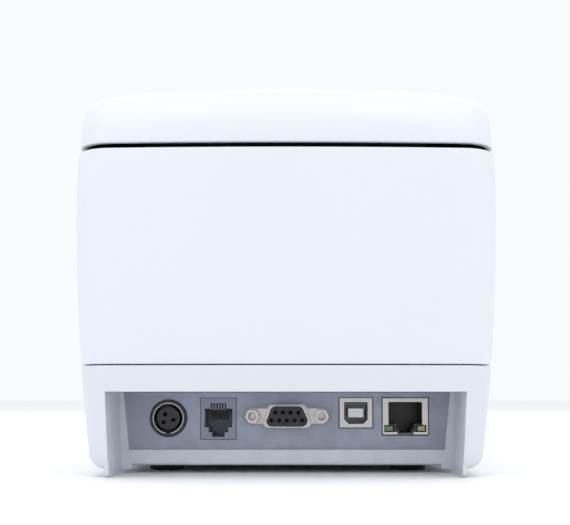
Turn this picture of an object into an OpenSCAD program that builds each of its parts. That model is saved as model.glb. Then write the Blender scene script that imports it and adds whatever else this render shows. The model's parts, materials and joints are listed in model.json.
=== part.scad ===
// Receipt printer for 80 mm thermal paper: drop-in roll, hinged lid, automatic cutter, rear sockets.
// The front faces -Y, the rear faces +Y, Z is up and the printer stands on z = 0. Millimetres.

/* [Case] */
// Greatest width of the case
case_w = 147.2; // [146.4:0.2:148.4]
// Depth of the case over its bowed front and rear faces
case_d = 190; // [189:0.5:192]
// Height of the crown of the lid
case_h = 143; // [142.5:0.5:145]
// Wall thickness of the case mouldings
wall = 2.4; // [2.2:0.1:2.6]
// Plan radius of the case's upright corners
corner_r = 12; // [11:0.5:13]
// Height of the top edge of the base
seam_z = 38; // [37:0.5:39]
// Gap between the upper housing and the lid
lid_gap = 1.4; // [1.2:0.1:1.8]

/* [Paper path] */
// Radius of the rubber platen
platen_r = 7; // [6.9:0.05:7]
// Length of the rubber on the platen
platen_len = 80; // [79:0.5:80]
// Inner radius of the roll bin
bin_r = 41; // [40:0.5:41]
// Inner width of the roll bin
bin_w = 84; // [83:0.5:84]

/* [Travel] */
// Travel of the moving blade across the paper slot
blade_travel = 5; // [4.5:0.1:5]

/* [Hidden] */
$fn = 64;

// Case outline
rim_z = 2.7;              // underside of the case
widest_z = 100;           // height at which the barrel-shaped sides are widest
body_top = 112.4;         // top edge of the upper housing
lid_rim = body_top + lid_gap;
lid_half_w = case_w / 2 - 0.8;
rear_y = case_d / 2;
bow = [2.6, 5];           // how far the rear and the front faces curve back at their ends
arc_n = 6;                // steps in a plan corner
edge_n = 6;               // steps along the front and rear edges
side_n = 8;               // steps along the sides
slit_y = [-64.2, -59.4];  // paper slit between the front cover and the lid

// Rear recess with the sockets, its side walls running down as fins
recess_half = 61;
recess_lean = 1.4;        // how far its side walls run inwards on the way down
recess_wall = 2;
recess_y = 63;            // back wall of the recess
recess_top = 29.1;
fin_z = 0.6;              // the fins stop just above the table
notch_half = 55.9;
panel_y = 61;             // outer face of the metal socket panel
board_z = 27;             // underside of the board, from which the sockets hang
board_t = 1.6;
floor_z = rim_z + 2.2;

// Sockets: centre X and Z of each
power_at = [43.2, 19.7];
drawer_at = [25, 19.55];
serial_at = [0, 20.4];
usb_at = [-25.1, 21.6];
lan_at = [-43.1, 20.35];

// Hinge and paper path, as [y, z]
hinge_at = [84.4, 121.4];
roll_at = [30, 74];
platen_at = [-54, 112];
motor_at = [-36, 80];
lock_at = [-45, 98];
head_pivot_at = [-68, 99];
cutter_at = [-75, 116.05];
deck_z = 104;

// Gear train, module 0.6
gear_m = 0.6;
platen_teeth = 30;
idler_small = 28;
idler_large = 54;
pinion_teeth = 14;
cutter_teeth = 20;
backlash = 0.14;
function pitch_r(teeth) = gear_m * teeth / 2;
function meet(a, b, ra, rb) =    // the point ra from a and rb from b, on the front side
    let (d = b - a, l = norm(d), u = d / l, s = (ra * ra - rb * rb + l * l) / (2 * l),
        h = sqrt(ra * ra - s * s))
    a + s * u + h * [-u[1], u[0]];
idler_at = meet(motor_at, platen_at, pitch_r(pinion_teeth) + pitch_r(idler_large),
    pitch_r(idler_small) + pitch_r(platen_teeth));
cutter_motor_at = cutter_at + [-6, -sqrt(pow(pitch_r(cutter_teeth) + pitch_r(pinion_teeth), 2) - 36)];
function bearing_of(a, b) = atan2(b[1] - a[1], b[0] - a[0]);
// Turn that puts a tooth space of gear b against a tooth of gear a, both on parallel axes
function mesh_phase(line, turn_a, teeth_a, teeth_b) =
    line + 180 + 180 / teeth_b - (turn_a - line) * teeth_a / teeth_b;

// ---------------------------------------------------------------- outline functions

function lerp(a, b, t) = a + (b - a) * t;
function clamp01(t) = min(1, max(0, t));
function smooth(t) = let (c = clamp01(t)) c * c * (3 - 2 * c);
function arc(cx, cy, r, from) =
    [for (i = [0:arc_n]) [cx + r * cos(from + 90 * i / arc_n), cy + r * sin(from + 90 * i / arc_n)]];
function bowed(p, a, y0, y1) =
    let (t = (p[1] - (y0 + y1) / 2) / ((y1 - y0) / 2))
    [p[0], p[1] - (t > 0 ? bow[0] : bow[1]) * t * pow(p[0] / a, 2)];
// Rounded rectangle seen from above, anticlockwise, with bowed front and rear edges
function plan(a, y0, y1, r) = [for (p = concat(
    [for (i = [0:side_n - 1]) [a, lerp(y0 + r, y1 - r, i / side_n)]],
    arc(a - r, y1 - r, r, 0),
    [for (i = [1:edge_n - 1]) [lerp(a - r, r - a, i / edge_n), y1]],
    arc(r - a, y1 - r, r, 90),
    [for (i = [1:side_n]) [-a, lerp(y1 - r, y0 + r, i / side_n)]],
    arc(r - a, y0 + r, r, 180),
    [for (i = [1:edge_n - 1]) [lerp(r - a, a - r, i / edge_n), y0]],
    arc(a - r, y0 + r, r, 270))) bowed(p, a, y0, y1)];

// Barrel shape of the case: how far each face stands in from its widest place at height z
function barrel(z) = z < widest_z ? pow((widest_z - z) / 100, 2)
    : 0.065 * pow((z - widest_z) / (body_top - widest_z), 2);
function case_plan(z, inset) = plan(case_w / 2 - 6.2 * barrel(z) - inset,
    -rear_y + 5 * barrel(z) + inset, rear_y - 3 * barrel(z) - inset, corner_r - inset);
function at_height(points, z) = [for (p = points) [p[0], p[1], z]];
function case_ring(z, inset) = at_height(case_plan(z, inset), z);

// Crown of the lid and front cover
function crown_z(x, y) = case_h - pow(60 - min(y, 60), 2) / 1700 - x * x / 1500;
edge_h = [5, 48, 28];    // how far in the rounding reaches at the sides, the rear and the front
edge_v = [13, 24.5, 18];   // and how far down
function drop(y, y0, y1) = lerp(lerp(edge_v[0], edge_v[1], smooth((y - y1) / 32 + 1)), edge_v[2],
    smooth((y0 - y) / 26 + 1));
function dome_ring(turn, inset) =
    let (in = 1 - cos(turn), a = lid_half_w - 0.3 - edge_h[0] * in - inset,
        y0 = -rear_y + 0.6 + edge_h[2] * in + inset, y1 = rear_y - 0.6 - edge_h[1] * in - inset)
    [for (p = plan(a, y0, y1, corner_r - 8 * in - inset))
        let (top = crown_z(p[0], p[1]) - inset)
            [p[0], p[1], top - min(drop(p[1], y0, y1), top - lid_rim - 0.4) * (1 - sin(turn))]];
function dome_top(s, inset) = let (edge = dome_ring(90, inset))
    [for (p = edge) let (x = p[0] * s, y = lerp(10, p[1], s)) [x, y, crown_z(x, y) - inset]];
function dome_rings(rim, inset) = concat(
    [at_height(plan(lid_half_w - inset, -rear_y + 0.4 + inset, rear_y - 0.4 - inset, corner_r - inset), rim)],
    [for (turn = [0:15:90]) dome_ring(turn, inset)],
    [for (s = [0.8, 0.55, 0.3, 0.1]) dome_top(s, inset)]);

// Closed solid through rings of points, each ring anticlockwise from above and rising;
// looped joins the last ring to the first, for a tube-shaped wall
module loft(rings, looped = false) {
    n = len(rings[0]);
    m = len(rings);
    sides = [for (k = [0:looped ? m - 1 : m - 2], i = [0:n - 1])
        let (a = k * n + i, b = k * n + (i + 1) % n, c = ((k + 1) % m) * n + i, d = ((k + 1) % m) * n + (i + 1) % n)
        each [[a, d, b], [a, c, d]]];
    middle = function (ring) [for (axis = [0:2]) [for (p = ring) p[axis]] * [for (p = ring) 1 / n]];
    caps = looped ? [] : concat([for (i = [0:n - 1]) [i, (i + 1) % n, m * n]],
        [for (i = [0:n - 1]) [(m - 1) * n + (i + 1) % n, (m - 1) * n + i, m * n + 1]]);
    polyhedron(points = concat([for (ring = rings) each ring],
        looped ? [] : [middle(rings[0]), middle(rings[m - 1])]), faces = concat(sides, caps));
}

// ---------------------------------------------------------------- small helpers

// Box between two corners
module span(x, y, z) {
    translate([x[0], y[0], z[0]]) cube([x[1] - x[0], y[1] - y[0], z[1] - z[0]]);
}
// Extrudes a shape drawn in [y, z] along X, between two places
module along_x(x) {
    translate([x[0], 0, 0]) rotate([90, 0, 90]) linear_extrude(x[1] - x[0]) children();
}
// Extrudes a shape drawn in [x, z] along Y
module along_y(y) {
    translate([0, y[1], 0]) rotate([90, 0, 0]) linear_extrude(y[1] - y[0]) children();
}
module rod_x(at, r, x) { translate([x[0], at[0], at[1]]) rotate([0, 90, 0]) cylinder(r = r, h = x[1] - x[0]); }
module rod_y(at, r, y) { translate([at[0], y[1], at[1]]) rotate([90, 0, 0]) cylinder(r = r, h = y[1] - y[0]); }
module rod_z(at, r, z) { translate([at[0], at[1], z[0]]) cylinder(r = r, h = z[1] - z[0]); }
module both_sides() {
    children();
    mirror([1, 0, 0]) children();
}
// Rectangle with round corners, drawn from one centred point
module round_rect(w, h, r) {
    polygon([for (c = [[1, 1, 0], [-1, 1, 90], [-1, -1, 180], [1, -1, 270]], i = [0:5])
        [c[0] * (w / 2 - r) + r * cos(c[2] + 18 * i), c[1] * (h / 2 - r) + r * sin(c[2] + 18 * i)]]);
}
// Pan-head screw with a cross recess, head up, its head sitting on z = 0
module screw(r, length, head_r) {
    difference() {
        union() {
            translate([0, 0, -length]) cylinder(r = r, h = length);
            cylinder(r = head_r, h = 1.2);
            translate([0, 0, 1.2]) cylinder(r1 = head_r, r2 = head_r * 0.72, h = 0.5);
        }
        for (turn = [0, 90]) rotate(turn) translate([-head_r * 0.55, -0.25, 0.7]) cube([head_r * 1.1, 0.5, 2]);
    }
}
module screw_at(p, r = 1.2, length = 8, head_r = 2.6) { translate(p) screw(r, length, head_r); }

// ---------------------------------------------------------------- gears

function involute(a) = tan(a) * 180 / PI - a;
// Half the angle of a tooth at radius r, in degrees
function tooth_half(teeth, r) =
    let (rp = pitch_r(teeth), rb = rp * cos(20))
    90 / teeth - backlash / rp * 90 / PI / 2 + involute(20) - (r > rb ? involute(acos(rb / r)) : 0);
module gear_outline(teeth) {
    rp = pitch_r(teeth);
    root = rp - 1.25 * gear_m;
    tip = rp + 0.95 * gear_m;
    low = max(root + 0.08, rp * cos(20));
    radii = [root, low, (low + tip) / 2 - 0.02, tip];
    polygon([for (i = [0:teeth - 1]) each concat(
        [for (r = radii) let (a = 360 * i / teeth - tooth_half(teeth, r)) [r * cos(a), r * sin(a)]],
        [for (k = [3:-1:0]) let (r = radii[k], a = 360 * i / teeth + tooth_half(teeth, r))
            [r * cos(a), r * sin(a)]])]);
}
// Gear on an axis along X; turn is measured from +Y towards +Z
module gear_x(at, teeth, x, turn) {
    translate([0, at[0], at[1]]) along_x(x) rotate(turn) gear_outline(teeth);
}

// ---------------------------------------------------------------- case

module base_outer() {
    fillet = 5;
    loft(concat(
        [for (turn = [0:22.5:90]) let (z = rim_z + fillet * (1 - cos(turn)))
            at_height(case_plan(z, fillet * (1 - sin(turn))), z)],
        [for (z = [14, 22, 30, seam_z]) case_ring(z, 0)]));
}
function panel_window(grow) = [[-59.4 - grow, recess_top], [-57.2 - grow, 8.4 - grow],
    [57.2 + grow, 8.4 - grow], [59.4 + grow, recess_top]];
fin_x = [recess_half - recess_lean + 0.3, recess_half + recess_wall - recess_lean];
boss_at = [[62, -78], [62, 48]];
mech_post_at = [[40, -66], [40, -28]];
board_post_at = [[57, -4], [57, 34]];
switch_at = [-50, 21];    // power switch, as [y, z] on the left wall
pad_x = 70.6;             // flat pad on the wall around the switch

module base_housing() {
    color("white") difference() {
        union() {
            difference() {
                base_outer();
                difference() {
                    loft(concat([at_height(case_plan(floor_z, wall + 1.6), floor_z)],
                        [for (z = [8, 16, 28, seam_z + 1]) case_ring(z, wall)]));
                    span([-recess_half - recess_wall, recess_half + recess_wall],
                        [recess_y - recess_wall, rear_y + 5], [0, recess_top + recess_wall]);
                }
                along_y([recess_y, rear_y + 5])
                    polygon([[-recess_half, recess_top], [recess_lean - recess_half, 0],
                        [recess_half - recess_lean, 0], [recess_half, recess_top]]);
                span([-notch_half, notch_half], [recess_y - 3, recess_y + 1], [0, 3.3]);
            }
            along_x([-pad_x, -pad_x + 3.6]) translate(switch_at) round_rect(23.4, 17.4, 2);
            both_sides() {
                along_x(fin_x)
                    polygon(concat([[recess_y - recess_wall, fin_z]],
                        [for (turn = [270:15:360]) [86 + 1.6 * cos(turn), fin_z + 1.6 + 1.6 * sin(turn)]],
                        [[87.6, 6], [recess_y - recess_wall, 6]]));
                span([notch_half, fin_x[1]], [recess_y - recess_wall, recess_y], [fin_z + 1, 4]);
                for (p = boss_at) rod_z(p, 4, [floor_z - 0.5, seam_z]);
                for (p = mech_post_at) rod_z(p, 4, [floor_z - 0.5, 58]);
                for (p = board_post_at) rod_z(p, 3, [floor_z - 0.5, board_z]);
            }
        }
        along_y([recess_y - 3, recess_y + 1]) polygon(panel_window(0));
        both_sides() {
            for (p = boss_at) {
                rod_z(p, 1.7, [0, seam_z + 1]);
                rod_z(p, 3.1, [0, 12]);
            }
            for (p = mech_post_at) rod_z(p, 1.25, [45, 59]);
            for (p = board_post_at) rod_z(p, 1.25, [18, board_z + 1]);
        }
        along_x([-pad_x - 4, -60]) translate(switch_at) square([19.2, 13.2], center = true);
        for (x = [-30:6:30]) span([x - 1, x + 1], [-20, 30], [0, 8]);   // cooling slots
    }
}

module upper_housing() {
    levels = [seam_z + 0.4, 50, 62, 74, 86, 94, 100, 106, body_top];
    inner = [body_top - 3.2, 90, 64, seam_z + 0.4];
    color("white") difference() {
        union() {
            // The rim is thinner inside, which leaves room for the lid to swing
            loft(concat([for (z = levels) case_ring(z, 0)],
                [for (z = [body_top, body_top - 3]) case_ring(z, wall - 1.3)],
                [for (z = inner) case_ring(z, wall)]), looped = true);
            both_sides() {
                for (p = boss_at) {
                    rod_z(p, 4, [seam_z + 0.4, deck_z]);
                    span([p[0], 70.4], [p[1] - 1, p[1] + 1], [50, deck_z]);
                }
                // Lip that stands behind the gap under the lid
                span([67.8, 69], [-56, 66], [107.4, 115.5]);
                span([67.8, 72], [-56, 66], [107.4, 109]);
            }
            // Bracket behind the release button's spring
            span([60.6, 62], [-54.4, -43.6], [88, 100]);
            span([60.6, 71.4], [-54.4, -53], [88, 100]);
        }
        both_sides() for (p = boss_at) {
            rod_z(p, 1.25, [seam_z, 60]);
            rod_z(p, 1.25, [94, deck_z + 1]);
        }
        rod_x(spring_at, 1.8, [60, 63]);
        // Windows for the release button and the control panel
        along_x([60, 76]) translate(release_at) round_rect(17, 12.6, 2);
        along_y([-97, -90]) translate(control_at) round_rect(48.4, 12.4, 3);
    }
}
release_at = [-44, 96];   // release button, as [y, z] on the right wall
spring_at = [-48, 94];    // its return spring
control_at = [0, 96];     // control panel, as [x, z] on the front wall

// Hollow shell: up over the inside, then up over the outside
module top_dome(rim) {
    inside = dome_rings(rim, 2.2);
    loft(concat([for (k = [len(inside) - 1:-1:0]) inside[k]], dome_rings(rim, 0)));
}

module lid_cover() {
    color("white") difference() {
        top_dome(lid_rim);
        span([-80, 80], [-100, slit_y[1]], [100, 150]);
    }
}

module front_cover() {
    color("white") {
        difference() {
            top_dome(body_top + 0.6);
            span([-80, 80], [slit_y[0], 100], [100, 150]);
        }
        both_sides() {
            span([66.2, 68], [-70, -63.5], [107.2, 119]);
            span([66.2, 71], [-70, -63.5], [117, 119]);
        }
    }
}

module lid_bosses() {
    color("white") both_sides() for (y = [-30, 50]) difference() {
        rod_z([50, y], 3.2, [119, crown_z(50, y) - 3.4]);
        rod_z([50, y], 1.25, [118, 128]);
    }
}

module tear_bar() {
    teeth = 46;
    pitch = 92 / teeth;
    color("silver") translate([0, 0, crown_z(46, slit_y[0] - 4) - 3.5]) linear_extrude(0.7)
        polygon(concat([[46, slit_y[0] - 4], [-46, slit_y[0] - 4]],
            [for (i = [0:teeth - 1]) each [[-46 + i * pitch, slit_y[0] - 0.6],
                [-46 + (i + 0.5) * pitch, slit_y[0] + 0.3]]],
            [[46, slit_y[0] - 0.6]]));
}

module rubber_feet() {
    color("dimgray") both_sides() for (y = [-72, 40]) {
        translate([46, y, 0]) cylinder(r1 = 6, r2 = 6.6, h = 0.6);
        rod_z([46, y], 6.6, [0.6, rim_z]);
    }
}

module case_screws() {
    color("silver") both_sides() for (p = boss_at)
        translate([p[0], p[1], 12]) mirror([0, 0, 1]) screw(1.2, 40, 2.9);
}

// Eight identical screws: four in the chassis, two in the board and two in the mechanism's base
module inner_screws() {
    color("silver") both_sides() {
        for (p = boss_at) screw_at([p[0], p[1], deck_z + 2]);
        for (p = board_post_at) screw_at([p[0], p[1], board_z + board_t]);
        for (p = mech_post_at) screw_at([p[0], p[1], 59.5]);
    }
}

// ---------------------------------------------------------------- board and sockets

module interface_panel() {
    color("slategray") difference() {
        along_y([panel_y - 1, panel_y]) polygon([[-61.5, 29], [-60.5, 6], [60.5, 6], [61.5, 29]]);
        along_y([panel_y - 2, panel_y + 1]) {
            translate(power_at) circle(r = 6.8);
            translate(drawer_at) square([13.2, 15.2], center = true);
            translate(serial_at) {
                d_outline(8.8);
                square([25, 5.7], center = true);
                for (x = [-12.5, 12.5]) translate([x, 0]) circle(r = 2.9);
            }
            translate(usb_at) square([12.6, 11.2], center = true);
            translate(lan_at) square([17.2, 13.9], center = true);
        }
    }
}

module main_board() {
    color("darkgreen") difference() {
        span([-62, 62], [-10, panel_y - 1.1], [board_z, board_z + board_t]);
        both_sides() {
            for (p = board_post_at) rod_z(p, 1.6, [board_z - 1, board_z + 3]);
            rod_z(boss_at[1], 4.6, [board_z - 1, board_z + 3]);
        }
    }
}

module board_components() {
    color("black") {
        span([-10, 4], [12, 26], [board_z - 1.6, board_z]);        // processor
        span([16, 26], [14, 22], [board_z - 1.8, board_z]);        // memory
        span([-34, -20], [4, 12], [board_z - 2.2, board_z]);       // driver chips
        span([30, 44], [2, 10], [board_z - 2.2, board_z]);
        rod_z([-48, 16], 6, [board_z - 7, board_z]);               // buzzer
        span([-16, 16], [-9.5, -4.5], [board_z + board_t, board_z + board_t + 2.4]);   // ribbon socket
    }
    color("silver") {
        for (x = [34, 46]) rod_z([x, 28], 5, [board_z - 12, board_z]);   // smoothing capacitors
        rod_z([-30, 28], 4, [board_z - 11, board_z]);
    }
}

module power_jack() {
    color([0.1, 0.1, 0.11]) difference() {
        union() {
            translate(concat_xz(power_at, 48)) span([-7, 7], [0, 11.8], [-7, board_z - power_at[1]]);
            rod_y(power_at, 6.6, [59.8, 61.6]);
        }
        // Round groove for the plug's sleeve, with a key at the bottom, and three contact holes
        difference() {
            rod_y(power_at, 5.3, [53, 62]);
            rod_y(power_at, 4.1, [50, 61.2]);
        }
        difference() {
            rod_y(power_at, 5.68, [53, 62]);
            rod_y(power_at, 5.2, [50, 63]);
            translate(concat_xz(power_at, 50)) span([-0.8, 0.8], [0, 13], [-6, -4]);
        }
        for (p = [[1.26, 1.42], [-1.82, -0.59], [1.73, -1.54]]) rod_y(power_at + p, 0.75, [54, 62]);
    }
}
module power_jack_shield() {
    color("silver") difference() {
        rod_y(power_at, 5.65, [53.1, 61.9]);
        rod_y(power_at, 5.3, [50, 63]);
        translate(concat_xz(power_at, 50)) span([-0.9, 0.9], [0, 13], [-6, -4]);
    }
}
function concat_xz(at, y) = [at[0], y, at[1]];

module drawer_jack() {
    color("lightslategray") translate(concat_xz(drawer_at, 0)) difference() {
        span([-6.45, 6.45], [44, 61.2], [-7.45, 7.45]);
        span([-5, 5], [47, 62], [-3.1, 3.6]);           // plug
        span([-3.55, 3.55], [47, 62], [-4.9, -3]);      // latch, in two steps
        span([-2.3, 2.3], [47, 62], [-6.6, -4.8]);
        for (i = [-2.5:2.5]) span([i * 1.02 - 0.25, i * 1.02 + 0.25], [57, 62], [3.5, 5.6]);
    }
}
module drawer_jack_contacts() {
    // Six sprung wires that slope into the socket
    color("gold") translate(concat_xz(drawer_at, 0)) for (i = [-2.5:2.5])
        along_x([i * 1.02 - 0.19, i * 1.02 + 0.19])
            polygon([[60.6, 3.55], [60.6, 3.2], [50, -0.6], [49.4, -0.3], [58.6, 3.55]]);
}

// D-shaped outline of a nine-way connector, h high overall and wider at the bottom
module d_outline(h) {
    w = h * 2.05;
    r = 2.2;
    lean = tan(10) * h;
    corners = [[w / 2 - lean - r, h / 2 - r, 0], [-w / 2 + lean + r, h / 2 - r, 90],
        [-w / 2 + r, -h / 2 + r, 170], [w / 2 - r, -h / 2 + r, 260]];
    sweeps = [90, 80, 100, 90];
    polygon([for (k = [0:3], i = [0:5]) let (a = corners[k][2] + sweeps[k] * i / 5)
        [corners[k][0] + r * cos(a), corners[k][1] + r * sin(a)]]);
}
module serial_port_shell() {
    color("silver") difference() {
        union() {
            translate(concat_xz(serial_at, 0)) along_y([58.9, 59.9]) round_rect(30.8, 12.5, 1);
            translate(concat_xz(serial_at, 0)) along_y([59, 65.6]) d_outline(8.1);
            translate(concat_xz(serial_at, 0)) span([-9.8, 9.8], [49, 59], [-5.5, 6]);
        }
        translate(concat_xz(serial_at, 0)) {
            along_y([48, 66]) d_outline(7.3);
            for (x = [-12.5, 12.5]) rod_y([x, 0], 1.6, [58, 61]);
        }
    }
}
module serial_port_insulator() {
    color([0.08, 0.08, 0.1]) translate(concat_xz(serial_at, 0)) difference() {
        along_y([49.5, 65.2]) d_outline(7.24);
        for (i = [-2:2]) rod_y([i * 2.77, -1.42], 0.75, [58, 66]);
        for (i = [-1.5:1.5]) rod_y([i * 2.77, 1.42], 0.75, [58, 66]);
    }
}
module serial_jackscrews() {
    color("silver") translate(concat_xz(serial_at, 0)) for (x = [-12.5, 12.5]) difference() {
        union() {
            translate([x, 65.4, 0]) rotate([90, 0, 0]) cylinder(r = 2.75, h = 5.45, $fn = 6);
            rod_y([x, 0], 1.5, [54, 60]);
        }
        rod_y([x, 0], 1.4, [59, 66]);
    }
}

module usb_outline(w, h, cut) {
    polygon([[-w / 2, h / 2], [-w / 2, cut - h / 2], [cut - w / 2, -h / 2], [w / 2 - cut, -h / 2],
        [w / 2, cut - h / 2], [w / 2, h / 2]]);
}
module usb_port_shell() {
    color("silver") translate(concat_xz(usb_at, 0)) difference() {
        span([-6, 6], [45, 61.4], [-5.35, 5.4]);
        along_y([46, 62]) usb_outline(8.5, 7.8, 1.6);
    }
}
module usb_port_tongue() {
    color("gainsboro") translate(concat_xz(usb_at, 0)) {
        along_y([46, 49]) usb_outline(8.46, 7.76, 1.6);
        span([-2.8, 2.8], [48.5, 60.2], [-1.6, 1.6]);
    }
    color("gold") translate(concat_xz(usb_at, 0)) for (x = [-1.2, 1.2], z = [-1.75, 1.6])
        span([x - 0.4, x + 0.4], [50, 59.4], [z, z + 0.15]);
}

module lan_port_shell() {
    color("silver") translate(concat_xz(lan_at, 0)) difference() {
        span([-8.3, 8.3], [40, 61.4], [-6.6, 6.65]);
        span([-7.95, 7.95], [41, 60.9], [-6.25, 6.3]);
        span([-6.1, 6.1], [60, 62], [-3.4, 5.2]);       // plug
        span([-7.6, 7.6], [60, 62], [-5.6, -3.2]);      // lamps
        span([-2.9, 2.9], [60, 62], [-7, -5.4]);        // latch
    }
}
module lan_port_insert() {
    color([0.07, 0.07, 0.08]) translate(concat_xz(lan_at, 0)) difference() {
        span([-7.9, 7.9], [41.1, 60.8], [-6.2, 6.25]);
        span([-5.9, 5.9], [46, 61], [-2.6, 4.9]);
        span([-3.1, 3.1], [46, 61], [-4.4, -2.5]);
        span([-2.1, 2.1], [46, 61], [-5.8, -4.3]);
        both_sides() span([4.2, 7.6], [57, 61], [-5.6, -3.2]);
    }
}
module lan_port_lamps() {
    color("yellowgreen") translate(concat_xz(lan_at, 0)) both_sides()
        span([4.5, 7.3], [57, 60.6], [-5.3, -3.5]);
}

// ---------------------------------------------------------------- inner chassis

module chassis() {
    bin_y = [roll_at[0] - bin_r - 2, roll_at[0] + bin_r + 2];
    color("dimgray") difference() {
        union() {
            difference() {
                translate([0, 0, deck_z]) linear_extrude(2) polygon(case_plan(105, wall + 0.4));
                span([-61, 61], [-100, bin_y[0]], [100, 110]);
                both_sides() span([65.4, 80], [-88, -60], [100, 110]);
            }
            along_x([-bin_w / 2 - 2, bin_w / 2 + 2]) {
                translate(roll_at) circle(r = bin_r + 2);
                translate([bin_y[0], roll_at[1]]) square([2 * bin_r + 4, deck_z + 2 - roll_at[1]]);
            }
            both_sides() along_x([52, 56]) {
                // Goose-neck bracket, which the rear wall of the lid swings round
                translate(hinge_at) circle(r = 2.8);
                translate([66, hinge_at[1] - 2.8]) square([hinge_at[0] - 66, 5.6]);
                translate([66, deck_z]) square([5.4, hinge_at[1] + 2.8 - deck_z]);
            }
        }
        along_x([-bin_w / 2, bin_w / 2]) {
            translate(roll_at) circle(r = bin_r);
            translate([roll_at[0] - bin_r, roll_at[1]]) square([2 * bin_r, 50]);
        }
        both_sides() {
            rod_x(hinge_at, 1.6, [50, 58]);
            for (p = boss_at) rod_z(p, 1.6, [deck_z - 1, deck_z + 3]);
        }
        // Window for the near-end sensor
        along_x([bin_w / 2 - 1, bin_w / 2 + 3]) translate([10, 56]) square([8, 10], center = true);
    }
}
module hinge_pins() { color("silver") both_sides() rod_x(hinge_at, 1.6, [52.5, 60.4]); }

module near_end_sensor() {
    color([0.12, 0.12, 0.13]) along_x([bin_w / 2 + 0.4, bin_w / 2 + 7]) translate([10, 56])
        square([7.8, 9.8], center = true);
}

// Smooth plate that leads the paper from the roll to the print line
module paper_guide() {
    y = roll_at[0] - bin_r - 2.2;
    color("dimgray") {
        along_x([-41.5, 41.5]) polygon([[y, 100], [y, 98.5], [-58, 101.5], [-59, 100], [-59.6, 103],
            [-57, 103.2]]);
        both_sides() span([41.4, 45.2], [-43, -31], [99, 100.3]);
    }
}

// ---------------------------------------------------------------- print mechanism

module mech_frame() {
    plate = [45.2, 46.7];
    color("lightgray") difference() {
        union() {
            both_sides() {
                along_x(plate) polygon([[-87.6, 99], [-87.6, 111], [-84.5, 116], [-84.5, 119.2],
                    [-64, 119.2], [-60.5, 114], [-47, 114],
                    [-44, 104], [-22, 98], [-22, 58], [-72, 58], [-76, 92]]);
                span([36, plate[1]], [-72, -60], [58, 59.5]);
                span([36, plate[1]], [-34, -22], [58, 59.5]);
            }
            span([-plate[1], plate[1]], [-73, -71.8], [86, 110.9]);
            span([-plate[1], plate[1]], [-73, -66], [86, 87.2]);
        }
        both_sides() {
            // Seat of the platen bearing, open at the top
            along_x([44, 48]) {
                translate(platen_at) circle(r = 4.7);
                translate([platen_at[0] - 4.7, platen_at[1]]) square([9.4, 20]);
            }
            rod_x(lock_at, 1.55, [44, 48]);
            rod_x(cutter_at, 1.55, [44, 48]);
            for (p = mech_post_at) rod_z(p, 1.6, [57, 61]);
        }
        rod_x(motor_at, 3.5, [-48, -44]);
        rod_x(idler_at, 1.5, [-48, -44]);
        rod_x(cutter_motor_at, 2.5, [44, 48]);
    }
    // Rod on which the print head tilts
    color("silver") rod_x(head_pivot_at, 1.5, [-plate[1], plate[1]]);
}

module feed_motor() {
    color("silver") {
        rod_x(motor_at, 17, [-45.1, -26]);
        along_x([-45.1, -44.1]) {
            translate(motor_at) rotate(60) square([46, 8], center = true);
        }
        rod_x(motor_at, 3.3, [-46.4, -45]);
    }
}
module motor_pinion() {
    line = bearing_of(motor_at, idler_at);
    turn = mesh_phase(bearing_of(idler_at, motor_at), idler_turn(), idler_large, pinion_teeth);
    color("gold") gear_x(motor_at, pinion_teeth, [-60.5, -56], turn);
    color("silver") rod_x(motor_at, 1.2, [-60.8, -46.6]);
}
// The platen gear rests with a tooth pointing at the idler
function idler_turn() = mesh_phase(bearing_of(platen_at, idler_at), bearing_of(platen_at, idler_at),
    platen_teeth, idler_small);
module idler_gear() {
    color("ivory") {
        difference() {
            union() {
                gear_x(idler_at, idler_small, [-55.2, -50], idler_turn());
                gear_x(idler_at, idler_large, [-59.2, -56.2], idler_turn());
                rod_x(idler_at, 5.4, [-57.5, -54]);
            }
            rod_x(idler_at, 1.56, [-60, -49]);
        }
    }
}
module idler_pin() { color("silver") rod_x(idler_at, 1.5, [-60, -45.2]); }

module platen_roller() {
    color([0.15, 0.15, 0.16]) difference() {
        rod_x(platen_at, platen_r, [-platen_len / 2, platen_len / 2]);
        rod_x(platen_at, 3, [-50, 50]);
    }
}
module platen_shaft() {
    color("silver") {
        rod_x(platen_at, 3, [-41, 41]);
        rod_x(platen_at, 2.5, [-55.4, 50.4]);
    }
}
module platen_gear() {
    color("ivory") difference() {
        gear_x(platen_at, platen_teeth, [-54.6, -50.5], bearing_of(platen_at, idler_at));
        rod_x(platen_at, 2.5, [-56, -49]);
    }
}
module platen_bearings() {
    color("ivory") both_sides() difference() {
        union() {
            rod_x(platen_at, 4.5, [42, 47]);
            rod_x(platen_at, 5.2, [41.3, 42]);
        }
        rod_x(platen_at, 2.56, [41, 48]);
    }
}

// Print head: aluminium heat sink with the ceramic strip on its face
head_face = platen_at[0] - platen_r - 0.15;
module thermal_head() {
    color("lightgray") difference() {
        union() {
            span([-43, 43], [head_face - 4.6, head_face - 1], [98, 118]);
            along_x([-43, 43]) translate(head_pivot_at) circle(r = 3);
            span([-43, 43], [head_pivot_at[0], head_face - 3], [96.6, 101.4]);
        }
        rod_x(head_pivot_at, 1.56, [-50, 50]);
        for (x = [-36:8:36]) span([x - 1.4, x + 1.4], [head_face - 6, head_face - 3.4], [103, 119]);
    }
}
module head_substrate() {
    color("burlywood") span([-42, 42], [head_face - 1, head_face], [101.6, 117]);
}
// Two springs that push the head against the platen
module head_springs() {
    front = head_face - 4.6;
    color("silver") for (x = [-24, 24]) translate([x, -71.8, 108])
        rotate([-90, 0, 0]) coil_spring(front + 71.8, 2.4, 0.35, 4);
}
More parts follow.
